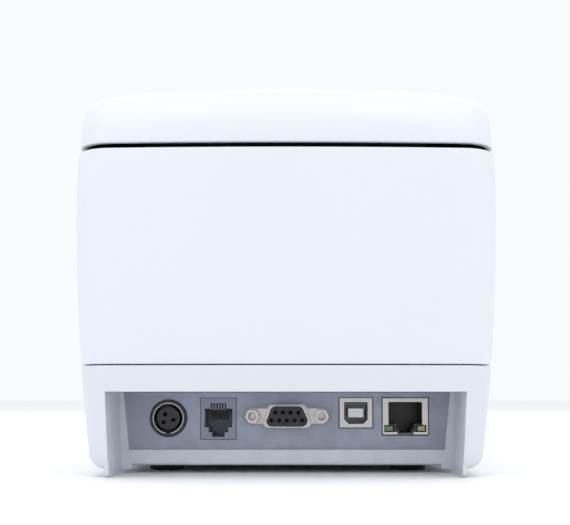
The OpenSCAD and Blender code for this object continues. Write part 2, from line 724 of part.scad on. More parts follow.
// Compression spring standing on z = 0
module coil_spring(length, r, wire, turns) {
    rings = [for (i = [0:12 * turns])
        let (a = 30 * i, out = [cos(a), sin(a), 0],
            middle = r * out + [0, 0, lerp(wire, length - wire, i / 12 / turns)])
        [for (k = [0:5]) middle + wire * (cos(60 * k) * out - [0, 0, sin(60 * k)])]];
    loft(rings);
}
// Flat cable from the head down and back to the board
module head_ribbon() {
    t = 0.3;
    y = head_pivot_at[0] + 5;
    low = board_z + board_t + 1;
    color("white") along_x([-14, 14]) polygon(concat(
        [[y, 96], [y - t, 96]],
        [for (a = [180:15:270]) [y + 6 + (6 + t) * cos(a), low + 6 + (6 + t) * sin(a)]],
        [[-9.6, low - t], [-9.6, low]],
        [for (a = [270:-15:180]) [y + 6 + 6 * cos(a), low + 6 + 6 * sin(a)]]));
}

// ---------------------------------------------------------------- lid lock

// Sloping faces where the button's wedge meets the crank, as height over X
slope = 0.68;
function wedge_z(x, gap) = 99.7 - slope * (x - 58) - gap;
module lock_hooks() {
    color("lightgray") {
        rod_x(lock_at, 1.5, [-49.1, 56]);
        both_sides() along_x([47.6, 49.1]) {
            translate(lock_at) circle(r = 3);
            polygon([[-47.8, 98], [-42.4, 98], [-44.6, 117.4], [-52.8, 117.4], [-54.4, 115.4], [-54.2, 114.9],
                [-50.2, 114.9]]);
        }
        // Crank that the release button pushes down
        along_x([51.5, 55]) {
            translate(lock_at) circle(r = 3);
            polygon([[-45, 95], [-33.2, 95], [-33.2, 98], [-37, 101], [-45, 101]]);
        }
        along_y([-35.8, -33.2]) polygon([[51.5, 95], [61, 95], [61, wedge_z(61, 0.4)],
            [57.5, wedge_z(57.5, 0.4)], [51.5, wedge_z(57.5, 0.4) - 1.6]]);
    }
}
module release_button() {
    color("gainsboro") {
        along_x([68.9, 73.1]) translate(release_at) round_rect(16.2, 11.8, 1.7);
        span([62.5, 69.5], [-38, -33.4], [99.4, 101.6]);
        // Wedge over the crank
        along_y([-35.6, -33.4]) polygon([[57, 101.6], [63, 101.6], [63, wedge_z(63, 0)], [57, wedge_z(57, 0)]]);
        rod_x(spring_at, 1.6, [60, 69.5]);
    }
}
module release_spring() {
    color("silver") translate([62, spring_at[0], spring_at[1]]) rotate([0, 90, 0]) coil_spring(7, 2.3, 0.3, 5);
}

// ---------------------------------------------------------------- cutter

blade_z = 121;
rack_z = blade_z - 0.75;  // pitch line of the racks
cutter_turn = 90;         // a pinion tooth points straight up into the rack
rack_x = [16, 20];
module cutter_frame() {
    color("lightgray") {
        difference() {
            span([-47, 47], [-84, -63.2], [119.2, 120.7]);
            both_sides() span([rack_x[0] - 0.8, rack_x[1] + 0.8], [-83, -66], [118, 122]);
        }
        both_sides() {
            span([41.4, 43.2], [-78, -64], [120.7, 122.3]);
            span([38.6, 43.2], [-78, -64], [122.3, 123.3]);
        }
    }
}
module moving_blade() {
    pitch = PI * gear_m;
    half = tan(20) * gear_m;
    thick = pitch / 4 - backlash / 4;
    color("silver") {
        translate([0, 0, blade_z]) linear_extrude(1)
            polygon([[-41, -80.5], [41, -80.5], [41, -63.4], [2, -65.8], [-2, -65.8], [-41, -63.4]]);
        both_sides() {
            for (i = [-1 - ceil(blade_travel / pitch):0])
                translate([0, cutter_at[0] + (i + 0.5) * pitch, 0]) along_x(rack_x)
                polygon([[-thick - half, blade_z], [-thick - half, rack_z + gear_m],
                    [-thick + 0.95 * half, rack_z - 0.95 * gear_m], [thick - 0.95 * half, rack_z - 0.95 * gear_m],
                    [thick + half, rack_z + gear_m], [thick + half, blade_z]]);
            span(rack_x, [cutter_at[0] - blade_travel - 2.4, cutter_at[0] + 2], [blade_z - 0.12, blade_z + 0.4]);
        }
    }
}
module cutter_shaft() {
    color("silver") rod_x(cutter_at, 1.5, [-48, 58]);
    color("ivory") {
        both_sides() gear_x(cutter_at, pinion_teeth, rack_x, cutter_turn);
        gear_x(cutter_at, cutter_teeth, [48, 52], cutter_turn);
    }
}
module cutter_thumbwheel() {
    color("dodgerblue") translate([0, cutter_at[0], cutter_at[1]]) along_x([53.5, 57.5]) difference() {
        polygon([for (i = [0:71]) let (r = i % 3 == 0 ? 5.7 : 6.2) [r * cos(5 * i), r * sin(5 * i)]]);
        circle(r = 1.5);
    }
}
module cutter_pinion() {
    turn = mesh_phase(bearing_of(cutter_at, cutter_motor_at), cutter_turn, cutter_teeth, pinion_teeth);
    color("gold") gear_x(cutter_motor_at, pinion_teeth, [48, 52], turn);
    color("silver") rod_x(cutter_motor_at, 1, [46.8, 52.4]);
}
module cutter_motor() {
    color("silver") {
        rod_x(cutter_motor_at, 6.2, [25, 45.1]);
        rod_x(cutter_motor_at, 2.4, [45, 46.5]);
    }
}
module fixed_blade() {
    color("silver") span([-42, 42], [-60.3, -46], [blade_z - 1, blade_z - 0.1]);
}

// ---------------------------------------------------------------- lid frame

module lid_frame() {
    arm = [56.4, 59];
    color("dimgray") difference() {
        union() {
            both_sides() {
                along_x(arm) {
                    translate(hinge_at) circle(r = 2.8);
                    polygon([[hinge_at[0], 118.6], [hinge_at[0], 124.2], [60, 130], [20, 131], [-40, 128],
                        [-57, 127], [-57, 121], [-50, 117], [60, 116]]);
                }
                // Arm that carries the platen bearing
                along_x([42, 44.2]) {
                    translate(platen_at) circle(r = 6.3);
                    polygon([[-59.5, 112], [-56.5, 122], [-44, 122], [-47.8, 112]]);
                }
            }
            // Cross beam over the fixed blade, then the roof that follows the roll
            span([-arm[0], arm[0]], [-57, -44], [blade_z - 0.1, 128]);
            along_x([-44, 44]) polygon([[-45, 120.9], [-45, 122.6], [4, 113.9], [4, 112.3]]);
            along_x([-arm[0], arm[0]]) {
                polygon(concat([for (a = [126:-6:54]) roll_at + 47.8 * [cos(a), sin(a)]],
                    [for (a = [54:6:126]) roll_at + 46.2 * [cos(a), sin(a)]]));
                translate([56, 111.6]) square([2.4, 1.6]);
            }
            along_x([-50, 50]) {
                translate([57, 111.6]) square([23, 1.6]);
                translate([78, 111.6]) square([1.6, 8]);
            }
            both_sides() for (y = [-30, 50]) span([46, arm[1]], [y - 4, y + 4], [117.4, 119]);
        }
        both_sides() {
            rod_x(hinge_at, 1.65, [56, 60]);
            rod_x(platen_at, 4.5, [40, 48]);
            rod_x(platen_at, 11.2, [49.6, 55.4]);
            for (y = [-30, 50]) {
                rod_z([50, y], 1.6, [116, 120]);
                rod_z([50, y], 3.2, [112, 117.4]);
            }
        }
    }
}
module lid_screws() {
    color("silver") both_sides() for (y = [-30, 50]) translate([50, y, 117.4]) mirror([0, 0, 1]) screw(1.2, 8, 2.6);
}

// ---------------------------------------------------------------- controls

module control_panel() {
    color("lightgray") difference() {
        union() {
            along_y([-94.3, -92.6]) translate(control_at) round_rect(48, 12, 2.8);
            along_y([-92.6, -91.6]) translate(control_at) round_rect(40, 9, 2);
        }
        along_y([-96, -90]) translate(control_at + [13, 0]) round_rect(14.4, 7.4, 3.4);
        for (x = [-17, -10, -3]) rod_y(control_at + [x, 0], 1.5, [-96, -90]);
    }
}
module status_lenses() {
    color("white") for (x = [-17, -10, -3]) rod_y(control_at + [x, 0], 1.5, [-94.5, -88.7]);
}
module feed_button() {
    color("gray") {
        along_y([-95.1, -90.6]) translate(control_at + [13, 0]) round_rect(13.6, 6.6, 3);
        along_y([-91.5, -90.6]) translate(control_at + [13, 0]) round_rect(15, 8, 3);
    }
}
module panel_board() {
    color("darkgreen") span([-22, 22], [-88.6, -87], [90, 102]);
    color("silver") span([10, 16], [-89.6, -88.6], [93, 99]);   // tact switch under the button
}
module power_switch_body() {
    color([0.1, 0.1, 0.1]) translate([0, switch_at[0], switch_at[1]]) difference() {
        union() {
            along_x([-pad_x - 1.3, -pad_x]) round_rect(21, 15, 1.2);
            along_x([-pad_x, -pad_x + 14]) square([18.8, 12.8], center = true);
        }
        along_x([-pad_x - 2, -pad_x + 9]) square([16.6, 10.6], center = true);
    }
}
rocker_x = pad_x - 2.4;       // pivot of the rocker, inside the wall
rocker_tilt = 8;              // it rests with its rear half pressed in
module power_rocker() {
    color([0.12, 0.12, 0.12]) translate([-rocker_x, switch_at[0], switch_at[1] - 5.1]) rotate(180 - rocker_tilt)
        linear_extrude(10.2) intersection() {
            circle(r = 8);
            polygon([[4, 6], [4, -6], [-4.2, -8.2], [-3, 0], [-4.2, 8.2]]);
        }
}

base_housing();
upper_housing();
chassis();
rubber_feet();
case_screws();
inner_screws();
interface_panel();
main_board();
board_components();
power_jack();
power_jack_shield();
drawer_jack();
drawer_jack_contacts();
serial_port_shell();
serial_port_insulator();
serial_jackscrews();
usb_port_shell();
usb_port_tongue();
lan_port_shell();
lan_port_insert();
lan_port_lamps();
mech_frame();
feed_motor();
idler_pin();
cutter_frame();
cutter_motor();
hinge_pins();
head_springs();
head_ribbon();
control_panel();
panel_board();
status_lenses();
power_switch_body();
near_end_sensor();
paper_guide();
release_spring();
lid_cover();
lid_bosses();
lid_frame();
lid_screws();
platen_bearings();
fixed_blade();
front_cover();
tear_bar();
platen_roller();
platen_shaft();
platen_gear();
idler_gear();
motor_pinion();
thermal_head();
head_substrate();
lock_hooks();
release_button();
cutter_shaft();
cutter_thumbwheel();
moving_blade();
cutter_pinion();
feed_button();
power_rocker();
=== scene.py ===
"""Receipt printer: the case mouldings rebuilt finely over the CAD frame, procedural materials, plain studio."""
import json
import math

import bmesh
import bpy
import numpy as np
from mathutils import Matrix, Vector

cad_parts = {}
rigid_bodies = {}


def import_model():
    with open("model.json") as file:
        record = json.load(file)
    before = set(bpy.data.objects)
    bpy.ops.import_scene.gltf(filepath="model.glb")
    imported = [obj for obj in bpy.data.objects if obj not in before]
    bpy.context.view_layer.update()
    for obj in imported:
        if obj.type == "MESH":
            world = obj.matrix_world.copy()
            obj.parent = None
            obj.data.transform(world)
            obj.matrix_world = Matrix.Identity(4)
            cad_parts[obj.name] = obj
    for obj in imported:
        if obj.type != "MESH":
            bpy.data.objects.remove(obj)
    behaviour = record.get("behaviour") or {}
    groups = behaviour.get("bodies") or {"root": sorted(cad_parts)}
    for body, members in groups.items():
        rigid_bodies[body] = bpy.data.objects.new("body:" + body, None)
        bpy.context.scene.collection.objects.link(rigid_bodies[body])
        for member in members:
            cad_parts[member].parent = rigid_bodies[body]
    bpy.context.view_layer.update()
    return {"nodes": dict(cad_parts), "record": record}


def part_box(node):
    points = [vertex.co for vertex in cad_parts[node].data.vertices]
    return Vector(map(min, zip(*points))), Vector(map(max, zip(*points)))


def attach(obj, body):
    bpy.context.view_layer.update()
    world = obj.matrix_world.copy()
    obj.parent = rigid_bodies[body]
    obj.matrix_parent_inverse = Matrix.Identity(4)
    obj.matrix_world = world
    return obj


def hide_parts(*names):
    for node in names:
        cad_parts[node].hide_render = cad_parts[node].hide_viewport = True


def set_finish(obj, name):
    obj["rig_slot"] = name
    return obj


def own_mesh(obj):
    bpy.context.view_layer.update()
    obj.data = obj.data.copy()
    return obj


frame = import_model()
nodes = frame["nodes"]
MM = 0.001

# ---------------------------------------------------------------- case outline, in mm as in the CAD

CASE_W, REAR, CASE_H = 147.2, 95.0, 143.0
WALL, CORNER, SEAM, BODY_TOP, LID_RIM, RIM = 2.4, 12.0, 38.0, 112.4, 114.2, 2.7
LID_HALF, LID_WALL = CASE_W / 2 - 0.8, 2.2
WIDEST, FLARE = 100, 0.065                # height of the widest level, and the taper above it
TAPER = (6.2, 5, 3)                       # how far the side, front and rear walls run in at the foot
BOW = (2.6, 5.0)                          # how far the rear and the front curve back at their ends
EDGE_H, EDGE_V = (5.0, 48.0, 28.0), (13.0, 24.5, 18.0)   # round of the dome: side, rear and front
DOME_CORNER, REAR_BLEND, FRONT_BLEND = 8, 32, 26
CROWN_Y, CROWN_LONG, CROWN_WIDE = 60, 1700, 1500         # highest line of the lid and its curvature
SLIT = (-64.2, -59.4)
RECESS_HALF, RECESS_Y, RECESS_TOP, LEAN, FIN_Z, NOTCH_HALF = 61.0, 63.0, 29.1, 1.4, 0.6, 55.9
FIN_X = (59.9, 61.6)
WINDOW = [(-59.4, RECESS_TOP), (-57.2, 8.4), (57.2, 8.4), (59.4, RECESS_TOP)]
FLOOR = RIM + 2.2
LAN_X = -43.1
PAD_X, SWITCH = 70.6, (-50.0, 21.0)
RELEASE, CONTROL = (-44.0, 96.0), (0.0, 96.0)
BOSSES, MECH_POSTS, BOARD_POSTS = [(62, -78), (62, 48)], [(40, -66), (40, -28)], [(57, -4), (57, 34)]


def lerp(a, b, t):
    return a + (b - a) * t


def smooth(t):
    t = np.clip(t, 0, 1)
    return t * t * (3 - 2 * t)


def plan(a, y0, y1, r, turns=10, across=26, along=34):
    """Rounded rectangle from above with bowed front and rear edges, anticlockwise."""
    def corner(cx, cy, start):
        t = np.radians(start + 90 * np.arange(turns + 1) / turns)
        return np.stack([cx + r * np.cos(t), cy + r * np.sin(t)], 1)

    def line(x0, ya, x1, yb, n):
        t = np.arange(1, n)[:, None] / n
        return np.array([[x0, ya]]) * (1 - t) + np.array([[x1, yb]]) * t
    p = np.concatenate([
        line(a, y0 + r, a, y1 - r, along), corner(a - r, y1 - r, 0),
        line(a - r, y1, r - a, y1, across), corner(r - a, y1 - r, 90),
        line(-a, y1 - r, -a, y0 + r, along), corner(r - a, y0 + r, 180),
        line(r - a, y0, a - r, y0, across), corner(a - r, y0 + r, 270)])
    t = (p[:, 1] - (y0 + y1) / 2) / ((y1 - y0) / 2)
    p[:, 1] -= np.where(t > 0, BOW[0], BOW[1]) * t * (p[:, 0] / a) ** 2
    return p


def at(p, z):
    return np.column_stack([p, np.broadcast_to(z, len(p))])


def barrel(z):
    """Share of the taper at a height: the sides are barrel-shaped."""
    if z < WIDEST:
        return ((WIDEST - z) / WIDEST) ** 2
    return FLARE * ((z - WIDEST) / (BODY_TOP - WIDEST)) ** 2


def case_ring(z, inset=0.0):
    side, front, rear = (t * barrel(z) for t in TAPER)
    return at(plan(CASE_W / 2 - side - inset, -REAR + front + inset, REAR - rear - inset, CORNER - inset), z)


def crown(x, y):
    return CASE_H - (CROWN_Y - np.minimum(y, CROWN_Y)) ** 2 / CROWN_LONG - x * x / CROWN_WIDE


def dome_ring(turn, inset=0.0):
    """Ring of the round between the lid's wall (turn 0) and its top (turn 90)."""
    lean = 1 - math.cos(math.radians(turn))
    a = LID_HALF - 0.3 - EDGE_H[0] * lean - inset
    y0 = -REAR + 0.6 + EDGE_H[2] * lean + inset
    y1 = REAR - 0.6 - EDGE_H[1] * lean - inset
    p = plan(a, y0, y1, CORNER - DOME_CORNER * lean - inset)
    x, y = p.T
    top = crown(x, y) - inset
    fall = lerp(lerp(EDGE_V[0], EDGE_V[1], smooth((y - y1) / REAR_BLEND + 1)),
                EDGE_V[2], smooth((y0 - y) / FRONT_BLEND + 1))
    return at(p, top - np.minimum(fall, top - LID_RIM - 0.4) * (1 - math.sin(math.radians(turn))))


def dome_top(s, inset=0.0):
    """Ring on the lid's top, s times as wide as its edge."""
    edge = dome_ring(90, inset)
    x, y = edge[:, 0] * s, lerp(10, edge[:, 1], s)
    return np.column_stack([x, y, crown(x, y) - inset])


def rounded_rim(ring, z, r, down, steps=4):
    """Rings of a small round where the outer face meets a rim at height z."""
    turns = [math.radians(90 * k / steps) for k in range(steps + 1)]
    if down:                                    # the face stands above this lower rim
        return [ring(z + r * (1 - math.cos(t)), r * (1 - math.sin(t))) for t in turns]
    return [ring(z - r * (1 - math.sin(t)), r * (1 - math.cos(t))) for t in turns]


# ---------------------------------------------------------------- mesh helpers

def make(name, points, faces):
    mesh = bpy.data.meshes.new(name)
    mesh.from_pydata((np.asarray(points, float) * MM).tolist(), [], faces)
    b = bmesh.new()
    b.from_mesh(mesh)
    bmesh.ops.recalc_face_normals(b, faces=b.faces)
    b.to_mesh(mesh)
    b.free()
    piece = bpy.data.objects.new(name, mesh)
    bpy.context.scene.collection.objects.link(piece)
    return piece


def loft(name, rings, looped=False, painted_shade_strips=()):
    """Skin over rings. The listed strips, and the first cap, take the second material, the near-black painted shade
    for a shell's inner faces.
    """
    n, m = len(rings[0]), len(rings)
    k, i = np.meshgrid(np.arange(m if looped else m - 1), np.arange(n), indexing="ij")
    a, c = (k * n + i).ravel(), ((k + 1) % m * n + i).ravel()
    b, d = (k * n + (i + 1) % n).ravel(), ((k + 1) % m * n + (i + 1) % n).ravel()
    faces = np.stack([a, b, d, c], 1).tolist()
    if not looped:
        faces += [list(range(n)), list(range((m - 1) * n, m * n))]
    piece = make(name, np.concatenate(rings), faces)
    if painted_shade_strips:
        strips = set(painted_shade_strips)
        piece.data.materials.append(None)
        piece.data.materials.append(None)
        for k, polygon in enumerate(piece.data.polygons):
            if k // n in strips or k == m * n - n:
                polygon.material_index = 1
    return piece


def prism(outline, axis, low, high, name="tool"):
    """Outline in the two other axes, X before Y before Z, drawn out along an axis (0, 1 or 2)."""
    pts = []
    for w in (low, high):
        for u, v in outline:
            pts.append({0: (w, u, v), 1: (u, w, v), 2: (u, v, w)}[axis])
    n = len(outline)
    faces = [list(range(n)), list(range(n, 2 * n))]
    faces += [[k, (k + 1) % n, n + (k + 1) % n, n + k] for k in range(n)]
    return make(name, pts, faces)


def block(x, y, z):
    return prism([(x[0], y[0]), (x[1], y[0]), (x[1], y[1]), (x[0], y[1])], 2, z[0], z[1])


def disc(cx, cy, r, n=40):
    return [(cx + r * math.cos(2 * math.pi * k / n), cy + r * math.sin(2 * math.pi * k / n)) for k in range(n)]


def round_rect(cx, cy, w, h, r, n=6):
    out = []
    for sx, sy, start in ((1, 1, 0), (-1, 1, 90), (-1, -1, 180), (1, -1, 270)):
        for k in range(n + 1):
            t = math.radians(start + 90 * k / n)
            out.append((cx + sx * (w / 2 - r) + r * math.cos(t), cy + sy * (h / 2 - r) + r * math.sin(t)))
    return out


def combine(piece, steps):
    """Adds and cuts tools one after another, then removes them."""
    for operation, tools in steps:
        for tool in tools:
            m = piece.modifiers.new("shape", "BOOLEAN")
            m.operation, m.object, m.solver = operation, tool, "MANIFOLD"
            tool.hide_render = True
    bpy.context.view_layer.update()
    mesh = bpy.data.meshes.new_from_object(piece.evaluated_get(bpy.context.evaluated_depsgraph_get()))
    piece.modifiers.clear()
    piece.data = mesh
    for _, tools in steps:
        for tool in tools:
            bpy.data.objects.remove(tool)


def tidy_faces(piece, angle=32):
    """Clears slivers left by the cuts and shades the mesh smooth up to an angle."""
    b = bmesh.new()
    b.from_mesh(piece.data)
    bmesh.ops.remove_doubles(b, verts=b.verts, dist=0.004 * MM)
    bmesh.ops.dissolve_degenerate(b, edges=b.edges, dist=0.002 * MM)
    b.to_mesh(piece.data)
    b.free()
    piece.data.polygons.foreach_set("use_smooth", [True] * len(piece.data.polygons))
    piece.data.set_sharp_from_angle(angle=math.radians(angle))


# ---------------------------------------------------------------- case mouldings

DOME_TURNS = list(np.arange(0, 91, 4.5))
DOME_TOPS = (0.94, 0.84, 0.7, 0.55, 0.4, 0.25, 0.12, 0.04)


def dome(name, rim):
    """Closed shell of the whole dome, its inner faces marked for the near-black painted shade inside."""
    def wall(z, inset):
        return at(plan(LID_HALF - inset, -REAR + 0.4 + inset, REAR - 0.4 - inset, CORNER - inset), z)
    outside = rounded_rim(wall, rim, 0.55, True) + [dome_ring(t) for t in DOME_TURNS]
    outside += [dome_top(s) for s in DOME_TOPS]
    inside = [wall(rim, LID_WALL)] + [dome_ring(t, LID_WALL) for t in DOME_TURNS[::2]]
    inside += [dome_top(s, LID_WALL) for s in DOME_TOPS[::2]]
    return loft(name, inside[::-1] + outside, painted_shade_strips=range(len(inside) - 1))


lid = dome("lid_shell", LID_RIM)
combine(lid, [("DIFFERENCE", [block((-80, 80), (-110, SLIT[1]), (100, 160))])])

front = dome("front_cover_shell", BODY_TOP + 0.6)
combine(front, [
    ("DIFFERENCE", [block((-80, 80), (SLIT[0], 110), (100, 160))]),
    ("UNION", [block(x, (-70, -63.5), (107.2, 119)) for x in ((66.2, 68), (-68, -66.2))]),
    ("UNION", [block(x, (-70, -63.5), (117, 119)) for x in ((66.2, 71), (-71, -66.2))])])

upper_rings = rounded_rim(case_ring, SEAM + 0.4, 0.5, True)
upper_rings += [case_ring(z) for z in np.linspace(42, 109, 26)]
upper_rings += rounded_rim(case_ring, BODY_TOP, 0.6, False)
upper_rings += [case_ring(z, i) for z, i in
                ((BODY_TOP - 0.2, 1.1), (BODY_TOP - 3, 1.1), (BODY_TOP - 3.2, WALL), (100, WALL), (90, WALL),
                 (78, WALL), (64, WALL), (50, WALL), (SEAM + 0.4, WALL))]
# The inner wall strips of the upper housing take the near-black painted shade.
upper = loft("upper_shell", upper_rings, looped=True, painted_shade_strips=range(len(upper_rings) - 8, len(upper_rings) - 1))
solid, hollow = [], []
for s in (1, -1):
    for x, y in BOSSES:
        solid.append(prism(disc(s * x, y, 4), 2, SEAM + 0.4, 104))
        solid.append(block(sorted((s * x, s * 70.4)), (y - 1, y + 1), (50, 104)))
        hollow.append(prism(disc(s * x, y, 1.25, 20), 2, SEAM, 60))
        hollow.append(prism(disc(s * x, y, 1.25, 20), 2, 94, 106))
    solid.append(block(sorted((s * 67.8, s * 69)), (-56, 66), (107.4, 115.5)))
    solid.append(block(sorted((s * 67.8, s * 72)), (-56, 66), (107.4, 109)))
solid += [block((60.6, 62), (-54.4, -43.6), (88, 100)), block((60.6, 71.4), (-54.4, -53), (88, 100))]
hollow += [prism(disc(-48, 94, 1.8, 24), 0, 60, 63),
           prism(round_rect(*RELEASE, 17, 12.6, 2), 0, 64, 76),
           prism(round_rect(*CONTROL, 48.4, 12.4, 3), 1, -100, -85)]
combine(upper, [("UNION", solid), ("DIFFERENCE", hollow)])

turns = [math.radians(t) for t in np.arange(0, 91, 7.5)]
base_rings = [case_ring(RIM + 5 * (1 - math.cos(t)), 5 * (1 - math.sin(t))) for t in turns]
base_rings += [case_ring(z) for z in np.linspace(9.5, 36.5, 16)] + rounded_rim(case_ring, SEAM, 0.5, False)
base = loft("base_shell", base_rings)
cavity = loft("tool", [at(case_ring(FLOOR, WALL + 1.6)[:, :2], FLOOR)]
              + [case_ring(z, WALL) for z in (8, 12, 16, 22, 28, 34, SEAM + 1)])
combine(cavity, [("DIFFERENCE", [block((-63, 63), (61, 100), (0, RECESS_TOP + 2))])])
fin = [(61, FIN_Z)] + [(86 + 1.6 * math.cos(t), FIN_Z + 1.6 + 1.6 * math.sin(t))
                       for t in np.radians(np.arange(270, 361, 11.25))] + [(87.6, 6), (61, 6)]
solid, hollow = [prism(round_rect(*SWITCH, 23.4, 17.4, 2), 0, -PAD_X, -PAD_X + 3.6)], []
for s in (1, -1):
    solid.append(prism(fin, 0, *sorted((s * FIN_X[0], s * FIN_X[1]))))
    solid.append(block(sorted((s * NOTCH_HALF, s * FIN_X[1])), (61, 63), (FIN_Z + 1, 4)))
    solid += [prism(disc(s * x, y, 4), 2, FLOOR - 0.5, SEAM) for x, y in BOSSES]
    solid += [prism(disc(s * x, y, 4), 2, FLOOR - 0.5, 58) for x, y in MECH_POSTS]
    solid += [prism(disc(s * x, y, 3), 2, FLOOR - 0.5, 27) for x, y in BOARD_POSTS]
    hollow += [prism(disc(s * x, y, 1.7, 24), 2, 0, SEAM + 1) for x, y in BOSSES]
    hollow += [prism(disc(s * x, y, 3.1, 32), 2, 0, 12) for x, y in BOSSES]
    hollow += [prism(disc(s * x, y, 1.25, 20), 2, 45, 59) for x, y in MECH_POSTS]
    hollow += [prism(disc(s * x, y, 1.25, 20), 2, 18, 28) for x, y in BOARD_POSTS]
hollow += [prism(WINDOW, 1, 60, 64),
           prism([(SWITCH[0] - 9.6, SWITCH[1] - 6.6), (SWITCH[0] + 9.6, SWITCH[1] - 6.6),
                  (SWITCH[0] + 9.6, SWITCH[1] + 6.6), (SWITCH[0] - 9.6, SWITCH[1] + 6.6)], 0, -75, -60)]
hollow += [prism(round_rect(x, 5, 2, 50, 0.95), 2, 0, 8) for x in range(-30, 31, 6)]
combine(base, [
    ("DIFFERENCE", [cavity]),
    ("DIFFERENCE", [prism([(-RECESS_HALF, RECESS_TOP), (LEAN - RECESS_HALF, 0), (RECESS_HALF - LEAN, 0),
                           (RECESS_HALF, RECESS_TOP)], 1, RECESS_Y, 100),
                    block((-NOTCH_HALF, NOTCH_HALF), (60, 64), (0, 3.3))]),
    ("UNION", solid), ("DIFFERENCE", hollow)])

for piece, body, node, name in ((lid, "lid", "lid_cover", "case_plastic"),
                                (front, "front_cover", "front_cover", "case_plastic"),
                                (upper, "printer", "upper_housing", "case_plastic"),
                                (base, "printer", "base_housing", "base_plastic")):
    tidy_faces(piece)
    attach(piece, body)
    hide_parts(node)
    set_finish(piece, name)


# ---------------------------------------------------------------- springs, wound finely

def coil(name, start, length, axis, r, wire, turns_n):
    """Compression spring with closed ends, from a start point along an axis (0 = X, 1 = Y)."""
    per = 28
    count = per * turns_n
    rings = []
    for i in range(count + 1):
        u = i / per
        end = 0.8
        rise = min(u, end) * 2.2 * wire + min(max(u - (turns_n - end), 0), end) * 2.2 * wire
        middle = max(0, min(u - end, turns_n - 2 * end)) / (turns_n - 2 * end)
        z = wire + rise + middle * (length - 2 * wire - 4.4 * wire * end)
        a = 2 * math.pi * u
        out = np.array([math.cos(a), math.sin(a), 0])
        ring = [r * out + np.array([0, 0, z]) + wire * (math.cos(b) * out - np.array([0, 0, math.sin(b)]))
                for b in np.arange(10) * 2 * math.pi / 10]
        rings.append(np.array(ring))
    order = {0: (2, 0, 1), 1: (0, 2, 1)}[axis]
    rings = [g[:, order] + np.array(start) for g in rings]
    piece = loft(name, rings)
    piece.data.polygons.foreach_set("use_smooth", [True] * len(piece.data.polygons))
    piece.data.set_sharp_from_angle(angle=math.radians(50))
    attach(piece, "printer")
    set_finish(piece, "spring_steel")
    return piece


lo, hi = [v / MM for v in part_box("release_spring")]
spring = coil("release_spring_coil", (lo.x, (lo.y + hi.y) / 2, (lo.z + hi.z) / 2), hi.x - lo.x, 0, 2.3, 0.3, 6)
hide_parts("release_spring")
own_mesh(spring)
lo, hi = [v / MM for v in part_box("head_springs")]
for side, x in (("left", -24.0), ("right", 24.0)):
    spring = coil("head_spring_" + side, (x, lo.y, (lo.z + hi.z) / 2), hi.y - lo.y, 1, 2.3, 0.35, 5)
    if side == "left":
        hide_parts("head_springs")
    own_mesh(spring)


# ---------------------------------------------------------------- materials

def tree(name):
    m = bpy.data.materials.new(name)
    m.use_nodes = True
    t = m.node_tree
    t.nodes.clear()
    shader = t.nodes.new("ShaderNodeBsdfPrincipled")
    t.links.new(shader.outputs[0], t.nodes.new("ShaderNodeOutputMaterial").inputs[0])
    return m, t, shader


def add(t, kind, links=(), **values):
    """New node, with its sockets set by name or linked."""
    n = t.nodes.new(kind)
    for key, v in values.items():
        if hasattr(n, key):
            setattr(n, key, v)
        else:
            n.inputs[key.replace("_", " ")].default_value = v
    for socket, source in links:
        t.links.new(source, n.inputs[socket])
    return n


def noise(t, coords, scale, detail=2.0, rough=0.5):
    return add(t, "ShaderNodeTexNoise", [("Vector", coords)], Scale=scale, Detail=detail, Roughness=rough).outputs[0]


def remap(t, value, low, high, start=0.3, stop=0.7):
    n = add(t, "ShaderNodeMapRange", [("Value", value)])
    for socket, v in (("From Min", start), ("From Max", stop), ("To Min", low), ("To Max", high)):
        n.inputs[socket].default_value = v
    return n.outputs[0]


def mix(t, factor, a, b, blend="MIX"):
    """Colour mix; a and b are colours or sockets, factor a number or a socket."""
    n = t.nodes.new("ShaderNodeMix")
    n.data_type, n.blend_type = "RGBA", blend
    for socket, v in ((n.inputs[0], factor), (n.inputs[6], a), (n.inputs[7], b)):
        if isinstance(v, bpy.types.NodeSocket):
            t.links.new(v, socket)
        elif isinstance(v, (int, float)):
            socket.default_value = v
        else:
            socket.default_value = (*v, 1)
    return n.outputs[2]


def shade(c, k):
    """A colour made darker or lighter."""
    return tuple(min(1, x * k) for x in c)


